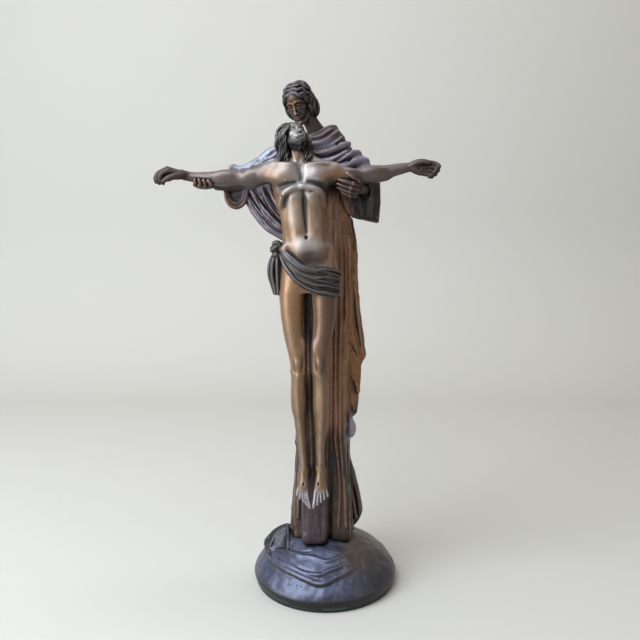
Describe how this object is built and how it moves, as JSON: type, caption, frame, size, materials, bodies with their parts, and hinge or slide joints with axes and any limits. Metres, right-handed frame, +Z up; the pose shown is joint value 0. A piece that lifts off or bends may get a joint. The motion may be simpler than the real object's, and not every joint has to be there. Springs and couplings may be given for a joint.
{
  "type": "religious figure group statue",
  "caption": "Cast bronze table statue: a robed standing figure holds up Christ, arms stretched out, head tipped back, on a low round domed base with a cloth cast in relief.",
  "frame": {"origin": "centre of the base's flat underside", "axes": "+Z up; -Y towards the viewer, the way Christ faces; +X to the viewer's right"},
  "size_m": [0.3435, 0.191, 0.6489],
  "materials": {
    "base_bronze": "cast bronze, blue-black patina, semi-gloss, brushed smooth",
    "robe_bronze": "cast bronze, dark brown patina, golden brown on the raised folds, near black in the folds",
    "christ_bronze": "cast bronze, golden brown patina, satin, darker in the hollows"
  },
  "bodies": {
    "root": {"base": "base_bronze", "robed_figure": "robe_bronze", "christ_figure": "christ_bronze"}
  },
  "joints": []
}
